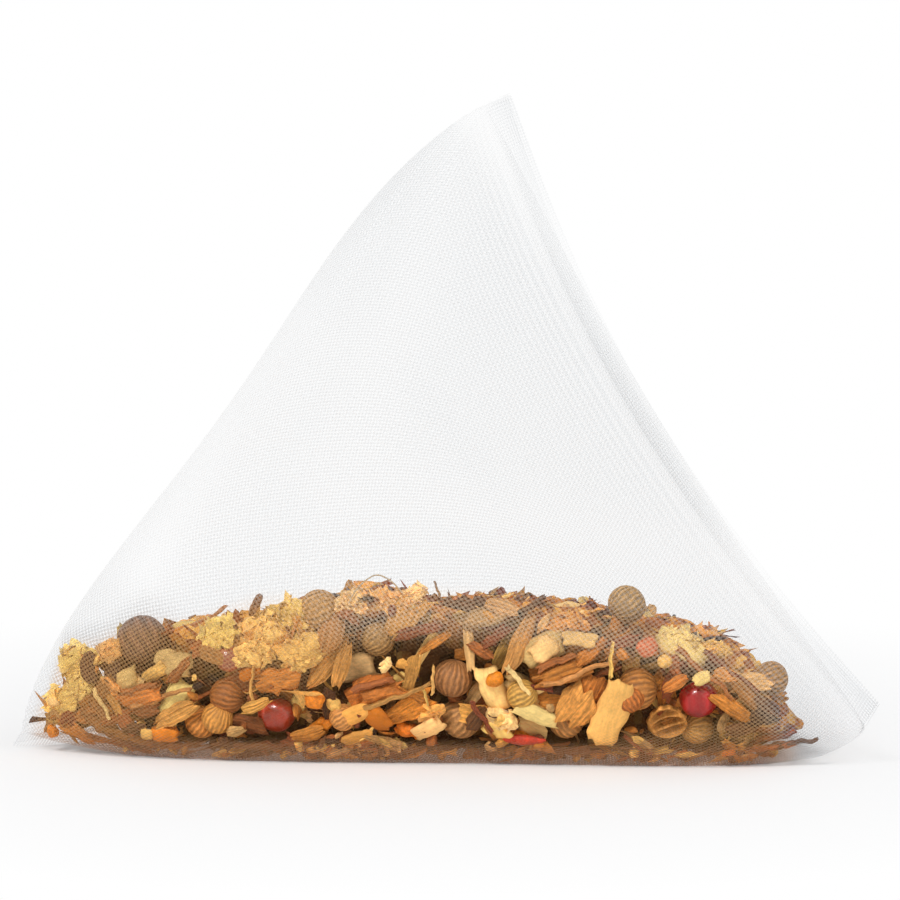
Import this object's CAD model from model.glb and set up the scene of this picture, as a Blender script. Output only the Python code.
"""Looks of the pyramid tea bag: real woven threads round a loose blend of seeds, bark, roots and petals."""
import math
import random

import bpy
import numpy as np
from mathutils import Matrix, Vector
from mathutils.bvhtree import BVHTree


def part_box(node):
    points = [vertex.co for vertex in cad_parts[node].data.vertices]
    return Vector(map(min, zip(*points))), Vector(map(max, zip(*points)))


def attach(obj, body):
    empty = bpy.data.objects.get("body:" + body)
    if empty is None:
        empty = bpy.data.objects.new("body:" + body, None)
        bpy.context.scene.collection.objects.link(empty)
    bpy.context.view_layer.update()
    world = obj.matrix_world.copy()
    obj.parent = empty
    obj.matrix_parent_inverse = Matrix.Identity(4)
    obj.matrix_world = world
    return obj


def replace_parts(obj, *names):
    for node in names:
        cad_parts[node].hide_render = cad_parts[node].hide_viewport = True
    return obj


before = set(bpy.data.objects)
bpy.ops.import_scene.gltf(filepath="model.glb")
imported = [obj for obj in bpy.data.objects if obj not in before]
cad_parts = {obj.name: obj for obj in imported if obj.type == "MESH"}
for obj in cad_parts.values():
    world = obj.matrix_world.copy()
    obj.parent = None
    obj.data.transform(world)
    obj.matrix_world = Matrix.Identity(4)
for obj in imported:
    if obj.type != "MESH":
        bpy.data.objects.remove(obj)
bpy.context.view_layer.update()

MM = 0.001

# Bag shape, with the same sizes as its solid
BAG_WIDTH = 60.0 * MM
BAG_HEIGHT = 45.3 * MM
SEAL_LENGTH = 49.4 * MM
LEFT_SETBACK = 9.3 * MM
BACK_SHIFT = 11.1 * MM
RIGHT_LIFT = 4.0 * MM
TOP_SHIFT = 4.4 * MM
TOP_SETBACK = 8.5 * MM
SEAL_WIDTH = 2.2 * MM
SEAL_THICKNESS = 0.6 * MM
CORNER_TRIM = 0.6 * MM
OPENING_POWER = 0.625
ROUNDNESS_MIDDLE = 2.0
ROUNDNESS_ENDS = 3.7
SWELL = 0.125
TOP_SEAL_BOW = 2.4 * MM
FLOOR_SEAL_BOW = 1.6 * MM
LEAN = 1.3 * MM
BELLY = 5.1 * MM
BELLY_HEIGHT = 14.0 * MM

# Weave
THREAD_PITCH = 0.225 * MM
THREAD_WIDTH = 0.125 * MM
THREAD_GAP = 0.012 * MM
WARP_STEPS = 64
WEFT_STEPS = 168
TUBE_LENGTH_SHARE = 1.12
FACE_VEIL = 0.105
HEAP_VEIL = 0.02
CREST_VEIL = 0.25
END_VEIL = 0.26
FOOT_VEIL = 0.45
SEAL_VEIL = 0.34

# How far in front of the middle the front side's own looks fade in, in millimetres
FRONT_SIDE = (2, 6)
# Light bands and the faint crease of the front face: places along X and heights, in millimetres
LIGHT_BANDS = [
    ((2.3, 42.4), (-6.6, 19.2)),
    ((-6.6, 19.2), (21.5, 13.0)),
    ((-8.2, 27.6), (-20.0, 12.2)),
]
LIGHT_BAND_WIDTH = 2.6
CREASE = ((-2.7, 26.6), (3.9, 18.0))
CREASE_WIDTH = 1.1

# Camera
CAMERA_ELEVATION = 6.5
CAMERA_DISTANCE = 367 * MM
FRAME_WIDTH = 63 * MM
FRAME_PIXELS = 900
SENSOR = 36.0
LOOK_AT = Vector((0.69, 1.56, 19.36)) * MM

# Light and floor
WORLD_COLOUR = (0.97, 0.98, 1.0, 1)
WORLD_STRENGTH = 0.44
FLOOR_COLOUR = (0.95, 0.95, 0.95, 1)
# Distances from the middle between which the floor turns plain white, and its shares of plain white there
FLOOR_FADE = (0.025, 0.06, 0.15, 1.0)
# Name, way, strength and angle in degrees
SUNS = [("key", (0.45, 0.85, -0.95), 2.1, 16), ("fill", (-0.7, 0.6, -0.5), 0.5, 60)]

# Top of the heap at the front wall: place along X and height, in millimetres
CREST = [
    (-28.5, 1.5),
    (-26.8, 3.6),
    (-25.6, 7.4),
    (-23.0, 7.8),
    (-20.5, 9.3),
    (-17.5, 9.0),
    (-12.5, 10.8),
    (-2.0, 11.5),
    (7.0, 10.9),
    (13.0, 9.7),
    (20.0, 7.8),
    (21.9, 5.2),
    (22.9, 1.5),
    (26.5, 0.7),
]
# Share of its height that the heap loses with each millimetre to the back, the place along Y where that
# starts, and the share that it keeps at least
CREST_FALL = 0.0127
CREST_FRONT = -15.0
CREST_LOWEST = 0.2
# Where the small pieces end towards the right-hand corner
HEAP_END = 23.3 * MM
# Share of its colour that the bed keeps deep between the pieces, and the depths under its top where that
# fades, in millimetres
BED_DARK = 0.2
BED_FADE = (0.6, 3.0)
BED_VOXEL = 0.42 * MM
# The bed's shift outwards in millimetres: everywhere, more at its sides, and by its lumps
BED_SHIFT, BED_SIDE_SHIFT, BED_LUMP_SHIFT = -0.15, 0.45, 0.12

# Room between the film and the pieces behind it
PIECE_ROOM = 0.08 * MM
SMALL_PIECE_ROOM = 0.1 * MM
LOOSE_PIECE_DEPTH = 0.15 * MM
FIBRE_DEPTH = 0.35 * MM
FIBRE_RADIUS = 0.05 * MM
# Size of a pixel of the photo at the front wall, as a share of its size at LOOK_AT, which lies further off
FRONT_SCALE = 0.96
# How far a loose piece leans from the wall, in degrees, and the room round it as a share of its length
LOOSE_LEAN = 9
LOOSE_ROOM = 0.36

# Depths of the small pieces behind the wall, lift of those over the bed, and depth of those at the front foot
NEAR_WALL = (0.3 * MM, 1.6 * MM)
BEHIND_THEM = (1.6 * MM, 3.4 * MM)
ON_TOP = (-0.35 * MM, 0.12 * MM)
AT_FOOT = (0.15 * MM, 0.7 * MM)
# Cells of the wall up to this height count as floor, and those of the front's lowest part as its foot
FLOOR_TOP = 0.15 * MM
FOOT_TOP = 1.5 * MM
FOOT_START = -24 * MM
# How far behind the film's frontmost line on the floor the foot still goes
FOOT_DEPTH = 2.2 * MM
# Lowest middles of the small pieces at the foot and at the walls, and how far the floor's go to the sides
FOOT_LOWEST = 0.25 * MM
SIDE_LOWEST = 0.2 * MM
FLOOR_END = 26 * MM
# Room to the wall that a small piece needs on the floor and on the top
FLOOR_ROOM = 0.4 * MM
TOP_ROOM = 0.5 * MM
# Places on the bed's top in millimetres, and the height from which they are looked for
TOP_ALONG = (-27, 23)
TOP_ACROSS = (-17, 20)
OVER_TOP = 25
# Left of this place, half of the small pieces are fluff
FLUFFY_END = -21 * MM
# Least and most light of the main, the loose and the small pieces, and the spread of a small piece's turn
# from the level, in degrees
NODE_LIGHT = (0.9, 1.1)
LOOSE_LIGHT = (0.92, 1.08)
SMALL_PIECE_LIGHT = (0.6, 1.25)
SMALL_PIECE_SPIN = 55


def linear(red, green, blue):
    """Linear colour from the 0 to 255 values that a screen shows."""
    shares = [c / 255 for c in (red, green, blue)]
    return tuple(c / 12.92 if c <= 0.04 else ((c + 0.055) / 1.055) ** 2.4 for c in shares)


GOLD = linear(218, 162, 84)
AMBER = linear(198, 130, 56)
RUST = linear(164, 98, 50)
RUSSET = linear(132, 68, 36)
UMBER = linear(100, 64, 36)
DUSK = linear(56, 36, 22)
STRAW = linear(233, 191, 112)
CREAM = linear(243, 209, 146)
LEMON = linear(247, 216, 134)
SAND = linear(214, 172, 116)
ORANGE = linear(232, 138, 34)
SCARLET = linear(176, 18, 26)
NUT = linear(160, 122, 74)
HAZEL = linear(138, 104, 72)

# Share of red, green and blue that the contents keep, for their warm golden cast
WARMTH = np.array((1.04, 0.92, 0.74))
THREAD_COLOUR = (0.50, 0.53, 0.55)
THREAD_ON_HEAP = linear(206, 160, 104)
THREAD_AT_CREST = linear(222, 196, 164)
THREAD_AT_FOOT = linear(192, 138, 88)

BARK_MIX = [GOLD, GOLD, AMBER, AMBER, AMBER, STRAW, SAND, RUST, RUST, RUSSET, UMBER, DUSK]
LEAF_MIX = [GOLD, GOLD, STRAW, AMBER, SAND, SAND, RUST, UMBER]
CHUNK_MIX = [CREAM, STRAW, SAND, GOLD, ORANGE, LEMON]
SHRED_MIX = [STRAW, GOLD, RUST, RUSSET, UMBER, AMBER]
CRUMB_MIX = [GOLD, AMBER, RUST, RUSSET, UMBER, UMBER, DUSK, STRAW, SAND]
FLUFF_MIX = [LEMON, STRAW, CREAM, GOLD]


class Bag:
    """The bag's surface as arrays: turn goes round the tube, share from the floor seal to the top seal."""

    # Points of the solid's own rings, which give the bag's centre, and points along which an arc is measured
    RING_POINTS = 44
    RINGS = 35
    ARC_POINTS = 721

    def __init__(self):
        self.left = np.array((-BAG_WIDTH / 2, LEFT_SETBACK, 0))
        self.right = np.array((BAG_WIDTH / 2, 0, RIGHT_LIFT))
        self.top = np.array((TOP_SHIFT, TOP_SETBACK, BAG_HEIGHT))
        back_run = math.sqrt(SEAL_LENGTH**2 - (BACK_SHIFT + BAG_WIDTH / 2) ** 2)
        self.back = np.array((BACK_SHIFT, LEFT_SETBACK + back_run, 0))
        self.start = (self.left + self.back) / 2
        self.end = (self.top + self.right) / 2
        run = self.end - self.start
        self.length = np.linalg.norm(run)
        self.axis = run / self.length
        self.floor_way = (self.back - self.left) / np.linalg.norm(self.back - self.left)
        self.top_way = (self.top - self.right) / np.linalg.norm(self.top - self.right)
        self.seal_share = SEAL_WIDTH / self.length
        self.centre = np.zeros(3)
        turns = np.linspace(0, 2 * math.pi, self.RING_POINTS, endpoint=False)
        grid = self.points(*np.meshgrid(turns, np.linspace(0, 1, self.RINGS))).reshape(-1, 3)
        middle = (grid.min(0) + grid.max(0)) / 2
        self.centre = np.array((middle[0], middle[1], 0))

    def points(self, turn, share, inset=0.0, floor=0.0):
        turn, share = np.broadcast_arrays(np.asarray(turn, float), np.asarray(share, float))
        opened = np.clip((share - self.seal_share) / (1 - 2 * self.seal_share), 0, 1)
        power = ROUNDNESS_MIDDLE + (ROUNDNESS_ENDS - ROUNDNESS_MIDDLE) * (2 * opened - 1) ** 2
        cosine, sine = np.cos(turn), np.sin(turn)
        reach = (np.abs(cosine) ** power + np.abs(sine) ** power) ** (-1 / power)
        seal_half = SEAL_LENGTH / 2 * (1 + SWELL * 4 * opened * (1 - opened))
        flat = SEAL_THICKNESS / SEAL_LENGTH
        floor_half = seal_half * np.hypot((1 - opened) ** OPENING_POWER, flat) - inset
        top_half = seal_half * np.hypot(opened**OPENING_POWER, flat) - inset
        floor_half = floor_half - CORNER_TRIM * np.clip(1 - share / self.seal_share, 0, 1)
        top_half = top_half - CORNER_TRIM * np.clip(1 - (1 - share) / self.seal_share, 0, 1)
        across_floor = floor_half * reach * cosine
        across_top = top_half * reach * sine
        spot = self.start + share[..., None] * (self.end - self.start)
        spot = spot + across_floor[..., None] * self.floor_way + across_top[..., None] * self.top_way
        top_rest = 1 - np.clip(2 * across_top / SEAL_LENGTH, -1, 1) ** 2
        floor_rest = 1 - np.clip(2 * across_floor / SEAL_LENGTH, -1, 1) ** 2
        bow = FLOOR_SEAL_BOW * (1 - share) ** 3 * floor_rest - TOP_SEAL_BOW * share**3 * top_rest
        spot = spot + bow[..., None] * self.axis
        spot[..., 0] -= LEAN * np.sin(math.pi * np.clip(spot[..., 2] / BAG_HEIGHT, 0, 1))
        front = np.clip(-reach * cosine, 0, 1)
        near_floor = np.exp(-((np.maximum(spot[..., 2], 0) / BELLY_HEIGHT) ** 2))
        spot[..., 1] -= BELLY * front * near_floor * np.clip(1 - (2 * spot[..., 0] / BAG_WIDTH) ** 2, 0, 1)
        spot[..., 2] = np.maximum(spot[..., 2], floor)
        return spot - self.centre

    def even_turns(self, share, count):
        """Turns that share a ring into equal arcs, so that the threads lie evenly."""
        turns = np.linspace(0, 2 * math.pi, self.ARC_POINTS)
        ring = self.points(turns, share, floor=-1)
        arc = np.concatenate(([0], np.cumsum(np.linalg.norm(np.diff(ring, axis=0), axis=1))))
        return np.interp(np.asarray(count) % 1.0 * arc[-1], arc, turns)


def crest_height(x):
    places, heights = zip(*CREST)
    return np.interp(np.asarray(x) / MM, places, heights) * MM


def heap_height(x, y):
    """Height of the heap at a place: full at the front wall and lower towards the back."""
    fall = np.clip(1 - CREST_FALL * (np.asarray(y) / MM - CREST_FRONT), CREST_LOWEST, 1)
    return crest_height(x) * fall


def smooth_step(value, low, high):
    share = np.clip((value - low) / (high - low), 0, 1)
    return share * share * (3 - 2 * share)


def bell(value, width):
    """1 at 0, falling off smoothly over the width on either side."""
    return np.exp(-((value / width) ** 2))


def mesh_object(name, verts, faces, finish):
    data = bpy.data.meshes.new(name)
    data.from_pydata(np.asarray(verts).tolist(), [], faces)
    data.update()
    data.shade_smooth()
    data.materials.append(finish)
    made = bpy.data.objects.new(name, data)
    bpy.context.scene.collection.objects.link(made)
    return made


def set_point_colour(made, name, values):
    layer = made.data.attributes.new(name, "FLOAT_COLOR", "POINT")
    full = np.ones((len(values), 4), np.float32)
    full[:, :3] = values
    layer.data.foreach_set("color", full.ravel())


def set_uv(made, name, values):
    layer = made.data.uv_layers.new(name=name)
    corners = np.empty(len(made.data.loops), int)
    made.data.loops.foreach_get("vertex_index", corners)
    layer.uv.foreach_set("vector", np.asarray(values)[corners].astype(np.float32).ravel())


def line_distance(x, z, line):
    """Distance of points on the front face from a straight line between two places."""
    (x0, z0), (x1, z1) = line
    run_x, run_z = x1 - x0, z1 - z0
    share = np.clip(((x - x0) * run_x + (z - z0) * run_z) / (run_x**2 + run_z**2), 0, 1)
    return np.hypot(x - x0 - share * run_x, z - z0 - share * run_z)


def film_veil(spots, bag):
    """Light that the threads hold back: little where the heap presses on the film, more at its crest.

    Places along X, heights and widths are in millimetres.
    """
    x, y, z = (spots / MM).T
    over_crest = z - crest_height(spots[:, 0]) / MM
    front = smooth_step(-y, *FRONT_SIDE)
    middle = smooth_step(x, -24, -16) * (1 - smooth_step(x, 18.5, 22.5))
    covered = smooth_step(x, -28.4, -27) * (1 - smooth_step(x, 22.8, 24))
    pressed = (1 - smooth_step(over_crest, -3.4, -0.8)) * middle * front
    at_end = (1 - smooth_step(over_crest, -0.4, 1.2)) * (1 - middle) * front * covered
    band = 1.3 + 2.0 * bell(x + 11, 5)
    near_crest = bell(over_crest + 0.7 * band, band) * (1 - smooth_step(np.abs(x), 24, 28)) * front
    low_right = (1 - smooth_step(z - 0.16 * (x - 9), 1.0, 2.4)) * smooth_step(x, 9, 13) * front * covered
    foot = (1 - smooth_step(z, 0.9, 2.1)) * smooth_step(x, -25, -22) * (1 - smooth_step(x, 21, 23)) * front
    light = sum(bell(line_distance(x, z, line), LIGHT_BAND_WIDTH) for line in LIGHT_BANDS)
    shade = 0.3 * bell(line_distance(x, z, CREASE), CREASE_WIDTH)
    shade = shade + 0.55 * smooth_step(x - 0.9 * (30 - z), -8, 8)
    veil = FACE_VEIL * (1 + front * (1 - at_end) * (shade - 0.6 * np.clip(light, 0, 1)))
    for zone_veil, share in (
        (HEAP_VEIL, pressed),
        (END_VEIL, np.maximum(at_end, low_right)),
        (CREST_VEIL, near_crest),
        (FOOT_VEIL, foot),
    ):
        veil = veil + (zone_veil - veil) * share
    seal = tuple(tuple((corner - bag.centre)[[0, 2]] / MM) for corner in (bag.top, bag.right))
    from_seal = line_distance(x, z, seal) * MM / SEAL_WIDTH
    left_tip = 1 - 0.35 * (1 - smooth_step(x, -29, -24)) * front
    return veil * left_tip * (1 - (1 - SEAL_VEIL) * bell(from_seal - 1.2, 0.75))


def thread_colour(spots):
    """Clear threads look grey against the light, and take the heap's colour where it lies behind them."""
    x, y, z = (spots / MM).T
    over_heap = z - heap_height(spots[:, 0], spots[:, 1]) / MM
    covered = (1 - smooth_step(over_heap, -0.3, 1.2)) * (1 - smooth_step(x, 22.5, 24.5))
    covered = covered * smooth_step(x, -28.5, -27)
    crest = smooth_step(over_heap, -3.2, -1.2) * covered * smooth_step(x, -12, -4)
    foot = (1 - smooth_step(z, 1.0, 2.4)) * covered * smooth_step(-y, *FRONT_SIDE)
    colour = np.array(THREAD_COLOUR)
    for zone_colour, share in ((THREAD_ON_HEAP, covered), (THREAD_AT_CREST, crest), (THREAD_AT_FOOT, foot)):
        colour = colour + (np.array(zone_colour) - colour) * share[:, None]
    return colour


def thread_sheet(bag, finish):
    """All warp and weft threads of the bag as one mesh of flat threads, the weft just inside the warp."""
    tube_length = TUBE_LENGTH_SHARE * bag.length
    warp_count = 2 * round(SEAL_LENGTH / THREAD_PITCH)
    weft_count = round(tube_length / THREAD_PITCH)
    round_share = THREAD_WIDTH / (2 * SEAL_LENGTH)
    length_share = THREAD_WIDTH / tube_length
    shares = np.linspace(0, 1, WARP_STEPS + 1)

    # Warp: from seal to seal
    columns = (np.arange(warp_count) + 0.5) / warp_count
    edges = np.concatenate((columns - round_share / 2, columns + round_share / 2))
    grid = np.array([bag.points(bag.even_turns(s, edges), s, inset=-THREAD_GAP) for s in shares])
    warp = np.stack((grid[:, :warp_count], grid[:, warp_count:]), axis=2)
    index = np.arange(warp.shape[0] * warp_count * 2).reshape(warp.shape[:3])
    warp_faces = np.stack((index[:-1, :, 0], index[:-1, :, 1], index[1:, :, 1], index[1:, :, 0]), axis=-1)
    along = np.broadcast_to((shares * weft_count)[:, None, None], warp.shape[:3])
    across = np.broadcast_to(np.arange(warp_count)[None, :, None], warp.shape[:3])
    warp_marks = np.stack((along, across), axis=-1)

    # Weft: round the tube
    lines = (np.arange(weft_count) + 0.5) / weft_count
    stops = np.arange(WEFT_STEPS) / WEFT_STEPS
    rings = []
    for line in lines:
        turns = bag.even_turns(line, stops)
        rings.append([
            bag.points(turns, line + side * length_share / 2, inset=THREAD_GAP, floor=THREAD_GAP)
            for side in (-1, 1)
        ])
    weft = np.array(rings)
    index = warp.shape[0] * warp_count * 2 + np.arange(weft.shape[0] * 2 * WEFT_STEPS).reshape(weft.shape[:3])
    ahead = np.roll(index, -1, axis=2)
    weft_faces = np.stack((index[:, 0], ahead[:, 0], ahead[:, 1], index[:, 1]), axis=-1)
    along = np.broadcast_to((stops * warp_count)[None, None, :], weft.shape[:3])
    across = np.broadcast_to((np.arange(weft_count) + 1)[:, None, None], weft.shape[:3])
    weft_marks = np.stack((along, across), axis=-1)

    spots = np.concatenate((warp.reshape(-1, 3), weft.reshape(-1, 3)))
    faces = np.concatenate((warp_faces.reshape(-1, 4), weft_faces.reshape(-1, 4)))
    made = mesh_object("woven_bag", spots, faces.tolist(), finish)
    set_uv(made, "Weave", np.concatenate((warp_marks.reshape(-1, 2), weft_marks.reshape(-1, 2))))
    veil = film_veil(spots, bag)
    set_point_colour(made, "Veil", np.repeat(veil[:, None], 3, axis=1))
    set_point_colour(made, "Thread", thread_colour(spots))
    return made


class Camera:
    """The photo's camera, and the ray through one of its pixels."""

    def __init__(self):
        lift = math.radians(CAMERA_ELEVATION)
        self.back = Vector((0, -math.cos(lift), math.sin(lift)))
        self.right = Vector((1, 0, 0))
        self.up = self.back.cross(self.right)
        self.place = LOOK_AT + self.back * CAMERA_DISTANCE

    def add(self):
        data = bpy.data.cameras.new("camera")
        data.sensor_width = SENSOR
        data.lens = SENSOR * CAMERA_DISTANCE / FRAME_WIDTH
        data.clip_start = 0.01
        camera = bpy.data.objects.new("camera", data)
        bpy.context.scene.collection.objects.link(camera)
        camera.location = self.place
        camera.rotation_euler = self.back.to_track_quat("Z", "Y").to_euler()
        bpy.context.scene.camera = camera

    def ray(self, pixel_x, pixel_y):
        pixel = FRAME_WIDTH / FRAME_PIXELS
        aim = self.right * ((pixel_x - FRAME_PIXELS / 2) * pixel)
        aim += self.up * ((FRAME_PIXELS / 2 - pixel_y) * pixel)
        return (aim - self.back * CAMERA_DISTANCE).normalized()


class Wall:
    """The bag's inner surface, to lay pieces against it and keep them inside."""

    ROWS = 90
    COLUMNS = 110
    TRIES = 4

    def __init__(self, bag):
        shares = np.linspace(bag.seal_share, 1 - bag.seal_share, self.ROWS)
        turns = np.linspace(0, 2 * math.pi, self.COLUMNS, endpoint=False)
        grid = bag.points(*np.meshgrid(turns, shares))
        faces = []
        for row in range(self.ROWS - 1):
            for column in range(self.COLUMNS):
                ahead = (column + 1) % self.COLUMNS
                low, high = row * self.COLUMNS, (row + 1) * self.COLUMNS
                faces.append((low + column, low + ahead, high + ahead, high + column))
        self.tree = BVHTree.FromPolygons([Vector(p) for p in grid.reshape(-1, 3)], faces)
        self.grid = grid
        # A place well inside, to tell the outward side
        self.heart = Vector((0, 0, 6)) * MM

    def outward(self, spot, normal):
        return normal if normal.dot(spot - self.heart) > 0 else -normal

    def hit(self, start, way):
        spot, normal, _, _ = self.tree.ray_cast(start, way)
        if spot is None:
            return None
        return spot, self.outward(spot, normal)

    def depth(self, point):
        """How deep a point lies inside the wall, and the wall's outward way there."""
        spot, normal, _, _ = self.tree.find_nearest(point)
        normal = self.outward(spot, normal)
        return (spot - point).dot(normal), normal

    def keep_inside(self, verts, clearance):
        """Moves a whole piece inwards until all its points are clear of the wall, or the tries are used."""
        for _ in range(self.TRIES):
            worst, way = 0.0, None
            for point in verts:
                deep, normal = self.depth(Vector(point))
                if clearance - deep > worst:
                    worst, way = clearance - deep, normal
            if way is None:
                break
            verts = verts - np.array(way) * worst
        return verts


# Length under which the level way of a wall that faces along X is taken along Y instead
LEAST_ACROSS = 0.05


def upright_frame(outward, spin):
    """Axes on a wall: the first level and the second up it, both turned by spin, and the third outwards."""
    across = Vector((1, 0, 0)) - outward * outward.x
    if across.length < LEAST_ACROSS:
        across = Vector((0, 1, 0)) - outward * outward.y
    across.normalize()
    upward = outward.cross(across)
    turn = math.radians(spin)
    first = across * math.cos(turn) + upward * math.sin(turn)
    return np.array((first, outward.cross(first), outward))


def tilted(axes, dice, most):
    """The same axes, leant by up to most degrees about a random way in the wall's plane."""
    way = dice.uniform(0, 2 * math.pi)
    lean = Vector(axes[0]) * math.cos(way) + Vector(axes[1]) * math.sin(way)
    turn = np.array(Matrix.Rotation(math.radians(dice.uniform(-most, most)), 3, lean))
    return axes @ turn.T


def wave(dice, values):
    """Smooth noise of about one, for values that run over a few units."""
    total = np.zeros_like(values)
    for k in (1, 2, 3):
        total = total + np.sin(values * 1.9 * k + dice.uniform(0, 7)) / k
    return total / 1.5


def random_way(dice):
    way = np.array([dice.gauss(0, 1) for _ in range(3)])
    return way / np.linalg.norm(way)


def broken(dice, values, knots=6):
    """Jagged line of straight runs, of up to one either way."""
    low, high = values.min(), values.max()
    places = np.sort([low, high] + [dice.uniform(low, high) for _ in range(knots - 2)])
    return np.interp(values, places, [dice.uniform(-1, 1) for _ in range(knots)])


def wave_over(dice, x, y, pitch):
    """Smooth noise of about one over a surface, for waves about a pitch long."""
    total = np.zeros_like(x)
    for k in (1, 2, 3):
        way = dice.uniform(0, math.pi)
        across = x * math.cos(way) + y * math.sin(way)
        total = total + np.sin(across * 2 * math.pi * k * 0.7 / pitch + dice.uniform(0, 7)) / k
    return total / 1.8


class Form:
    """One closed fragment: points, faces, place along and across its grain, and a shade for each point."""

    def __init__(self, verts, faces, grain, shade):
        self.verts = verts
        self.faces = faces
        self.grain = grain
        self.shade = shade

    def placed(self, axes, centre):
        return self.verts @ axes + np.asarray(centre)


GRID_FACES = {}
BALL_FACES = {}
# Furthest that a fragment's grain starts along its pattern
GRAIN_RANGE = 60


def grain_start(dice):
    return np.array((dice.uniform(0, GRAIN_RANGE), dice.uniform(0, GRAIN_RANGE)))


def grid_faces(cells_x, cells_y):
    """Faces of a slab: an upper grid, a lower grid and the rim between them."""
    if (cells_x, cells_y) not in GRID_FACES:
        count = (cells_x + 1) * (cells_y + 1)
        index = np.arange(count).reshape(cells_x + 1, cells_y + 1)
        corners = index[:-1, :-1], index[1:, :-1], index[1:, 1:], index[:-1, 1:]
        upper = np.stack(corners, axis=-1).reshape(-1, 4)
        rim = np.concatenate((index[:, 0], index[-1, 1:], index[-2::-1, -1], index[0, -2:0:-1]))
        ahead = np.roll(rim, -1)
        side = np.stack((rim + count, ahead + count, ahead, rim), axis=-1)
        GRID_FACES[cells_x, cells_y] = np.concatenate((upper, upper[:, ::-1] + count, side)).tolist()
    return GRID_FACES[cells_x, cells_y]


def ball_faces(rows, columns):
    """Faces of a ball: rings between a first and a last point."""
    if (rows, columns) not in BALL_FACES:
        index = 1 + np.arange(rows * columns).reshape(rows, columns)
        ahead = np.roll(index, -1, axis=1)
        quads = np.stack((index[:-1], ahead[:-1], ahead[1:], index[1:]), axis=-1).reshape(-1, 4).tolist()
        last = rows * columns + 1
        quads += [(0, ahead[0, k], index[0, k]) for k in range(columns)]
        quads += [(last, index[-1, k], ahead[-1, k]) for k in range(columns)]
        BALL_FACES[rows, columns] = quads
    return BALL_FACES[rows, columns]


def ball_angles(rows, columns):
    """For each point of a ball's rings, its angles from the middle ring and round the ball."""
    lift = np.linspace(-1, 1, rows + 2)[1:-1] * math.pi / 2
    turn = np.linspace(0, 2 * math.pi, columns, endpoint=False)
    return np.meshgrid(lift, turn, indexing="ij")


def capped(first, rings, last):
    """Points of a closed form: its first point, its rings as x, y and z, and its last point."""
    return np.concatenate(([first], np.stack(rings, -1).reshape(-1, 3), [last]))


def slab_form(
    dice, length, width, thickness, cells=(8, 4), ragged=0.14, taper=0.3, lumps=0.12, bend=0.0, cup=0.0,
    twist=0.0, ribs=0, rib_depth=0.0, bluntness=5,
):
    """Broken slab with a ragged outline: bent along its length, cupped across and ribbed along its grain."""
    along, across = (np.linspace(-1, 1, count + 1) for count in cells)
    u, v = np.meshgrid(along, across, indexing="ij")
    reach = length / 2 * (1 + 1.3 * ragged * broken(dice, v) * np.abs(u) ** 3)
    half = width / 2 * (1 - taper * np.abs(u) ** 2.5) * (1 + 1.2 * ragged * broken(dice, u, 7))
    x = u * reach
    y = v * half + ragged * width * 0.5 * broken(dice, u, 5)
    middle = bend * length * u**2 + cup * width * v**2 + twist * width * u * v
    rim = 1 - 0.75 * np.maximum(np.abs(u), np.abs(v)) ** bluntness
    rough = lumps * thickness * wave_over(dice, x, y, width)
    ridge = np.cos(ribs * math.pi * v + dice.uniform(0, 1)) if ribs else np.zeros_like(u)
    upper = middle + thickness / 2 * rim + rough + rib_depth * ridge
    lower = middle - thickness / 2 * rim + rough * 0.6
    verts = np.concatenate([np.stack((x, y, z), -1).reshape(-1, 3) for z in (upper, lower)])
    start = grain_start(dice)
    grain = np.tile(np.stack((x, y), -1).reshape(-1, 2) / MM + start, (2, 1))
    shade = (1 + 0.16 * wave_over(dice, x, y, length) + 0.15 * ridge).reshape(-1)
    return Form(verts, grid_faces(*cells), grain, np.concatenate((shade, shade * 0.85)))


def ball_form(dice, length, width, thickness, rows=5, columns=8, lumps=0.2, crinkle=0.0):
    """Lumpy pebble along X, crinkled if wanted."""
    lift, turn = ball_angles(rows, columns)
    rings = np.sin(lift), np.cos(lift) * np.cos(turn), np.cos(lift) * np.sin(turn)
    unit = capped((-1, 0, 0), rings, (1, 0, 0))
    swell = np.ones(len(unit))
    for k in range(1, 4):
        swell += lumps / k * np.sin(unit @ random_way(dice) * 2.3 * k + dice.uniform(0, 7))
    for k in range(8 if crinkle else 0):
        swell += crinkle * np.sin(unit @ random_way(dice) * (7 + 2.5 * k) + dice.uniform(0, 7))
    verts = unit * swell[:, None] * np.array((length, width, thickness)) / 2
    start = grain_start(dice)
    shade = 0.7 + 0.3 * swell if not crinkle else 0.1 + 0.85 * swell
    return Form(verts, ball_faces(rows, columns), verts[:, :2] / MM + start, shade)


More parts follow.
